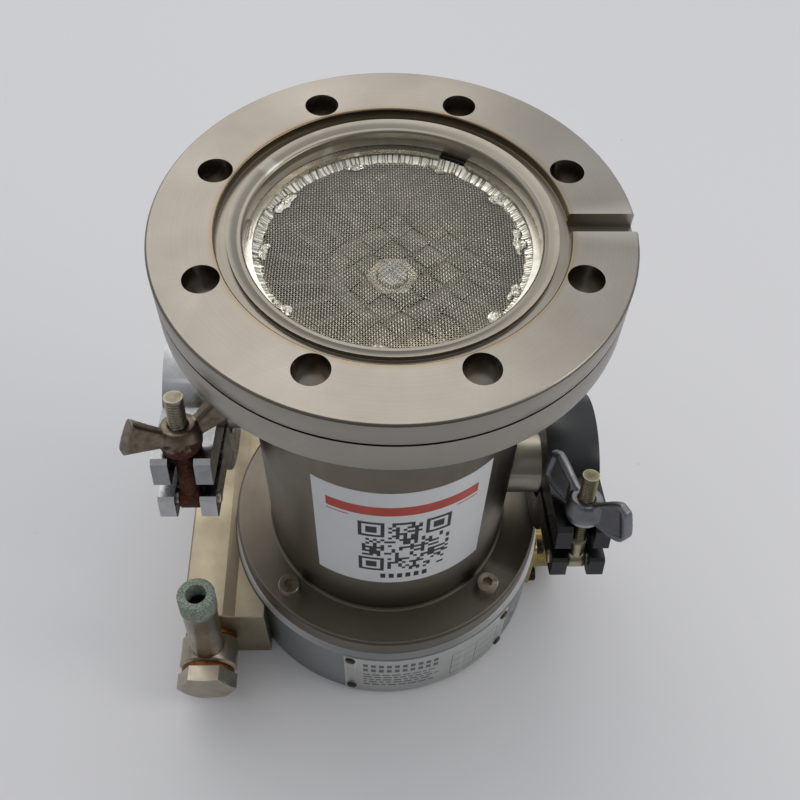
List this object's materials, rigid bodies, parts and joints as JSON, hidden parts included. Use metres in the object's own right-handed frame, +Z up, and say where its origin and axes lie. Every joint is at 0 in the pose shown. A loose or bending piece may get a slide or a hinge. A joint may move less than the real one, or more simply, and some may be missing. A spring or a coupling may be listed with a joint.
{
  "type": "turbomolecular pump",
  "caption": "Turbomolecular vacuum pump with a knife-edge inlet flange, bladed rotor and stator stack, two clamped side ports and a water-cooled base.",
  "frame": {"origin": "centre of the base's underside, on the rotor axis", "axes": "+Z up along the rotor axis to the inlet; +X along the right-hand side port"},
  "size_m": [0.1357, 0.1134, 0.171],
  "materials": {
    "turned_stainless": "turned",
    "casing_stainless": "satin",
    "screen_wire": "bright drawn wire",
    "base_aluminium": "satin",
    "screw_steel": "satin",
    "seal_rubber": "matt",
    "plate_aluminium": "satin",
    "block_nickel": "matt nickel plated",
    "fitting_nickel": "nickel plated, tarnished",
    "copper": "dull",
    "yellow_chromate": "yellow chromate",
    "black_plastic": "gloss",
    "brass_contact": "bright",
    "black_steel": "black oxide",
    "cast_aluminium": "polished casting",
    "cast_zinc": "die cast",
    "rusty_steel": "rusty",
    "stator_aluminium": "machined",
    "rotor_aluminium": "milled",
    "motor_steel": "laminated",
    "bearing_steel": "ground"
  },
  "bodies": {
    "housing": {"inlet_flange": "turned_stainless", "casing": "casing_stainless", "splinter_screen": "screen_wire", "screen_retaining_ring": "turned_stainless", "pump_base": "base_aluminium", "base_cover": "base_aluminium", "base_cover_screws": "screw_steel", "casing_o_ring": "seal_rubber", "foot_flange_screws": "screw_steel", "rating_plate": "plate_aluminium", "plate_rivets": "screw_steel", "cooling_block": "block_nickel", "cooling_block_screws": "screw_steel", "banjo_bolts": "fitting_nickel", "banjo_washers": "copper", "front_hose_nozzle": "fitting_nickel", "rear_hose_nozzle": "fitting_nickel", "connector_shell": "yellow_chromate", "connector_insert": "black_plastic", "connector_pins": "brass_contact", "connector_screws": "black_steel", "stator_disc_1": "stator_aluminium", "stator_disc_2": "stator_aluminium", "stator_disc_3": "stator_aluminium", "stator_disc_4": "stator_aluminium", "stator_spacers": "stator_aluminium", "support_sleeve": "stator_aluminium", "bearing_carrier": "stator_aluminium", "motor_core": "motor_steel", "motor_windings": "copper", "lower_bearing_outer_race": "bearing_steel", "upper_bearing_outer_race": "bearing_steel", "bearing_dampers": "seal_rubber", "right_port": "casing_stainless", "right_port_blank": "casing_stainless", "right_centring_ring": "bearing_steel", "right_port_seal": "seal_rubber", "right_clamp_upper_jaw": "black_plastic", "right_clamp_lower_jaw": "black_plastic", "right_clamp_pins": "screw_steel", "left_port": "casing_stainless", "left_port_blank": "casing_stainless", "left_centring_ring": "bearing_steel", "left_port_seal": "seal_rubber", "left_clamp_upper_jaw": "cast_aluminium", "left_clamp_lower_jaw": "cast_aluminium", "left_clamp_pins": "screw_steel"},
    "rotor": {"turbine_rotor": "rotor_aluminium", "rotor_shaft": "bearing_steel", "rotor_nut": "screw_steel", "motor_rotor": "motor_steel", "lower_bearing_inner_race": "bearing_steel", "upper_bearing_inner_race": "bearing_steel", "bearing_balls": "bearing_steel"},
    "right_bolt": {"right_swing_bolt": "yellow_chromate"},
    "right_washer": {"right_clamp_washer": "screw_steel"},
    "right_nut": {"right_wing_nut": "cast_zinc"},
    "left_bolt": {"left_swing_bolt": "rusty_steel"},
    "left_washer": {"left_clamp_washer": "screw_steel"},
    "left_nut": {"left_wing_nut": "rusty_steel"}
  },
  "joints": [
    {"name": "rotor_spin", "type": "hinge", "parent": "housing", "child": "rotor", "pos_m": [0, 0, 0.09], "axis": [0, 0, 1], "continuous": true},
    {"name": "right_bolt_swing", "type": "hinge", "parent": "housing", "child": "right_bolt", "pos_m": [0.0554, -0.03497, 0.06833], "axis": [1, 0, 0], "range_deg": [0, 95]},
    {"name": "right_nut_travel", "type": "slide", "parent": "right_bolt", "child": "right_washer", "axis": [0, 0.2419, 0.9703], "range_m": [-0.00076, 0.0064]},
    {"name": "right_nut_turn", "type": "hinge", "parent": "right_washer", "child": "right_nut", "pos_m": [0.0554, -0.03033, 0.08696], "axis": [0, 0.2419, 0.9703], "range_deg": [-345, 2885]},
    {"name": "left_bolt_swing", "type": "hinge", "parent": "housing", "child": "left_bolt", "pos_m": [-0.0529, -0.03497, 0.10633], "axis": [1, 0, 0], "range_deg": [0, 95]},
    {"name": "left_nut_travel", "type": "slide", "parent": "left_bolt", "child": "left_washer", "axis": [0, 0.2419, 0.9703], "range_m": [-0.00076, 0.0064]},
    {"name": "left_nut_turn", "type": "hinge", "parent": "left_washer", "child": "left_nut", "pos_m": [-0.0529, -0.03033, 0.12496], "axis": [0, 0.2419, 0.9703], "range_deg": [-345, 2885]}
  ],
  "couplings": [
    {"joint": "right_nut_turn", "follows": "right_nut_travel", "rad_per_m": 7854},
    {"joint": "left_nut_turn", "follows": "left_nut_travel", "rad_per_m": 7854}
  ]
}
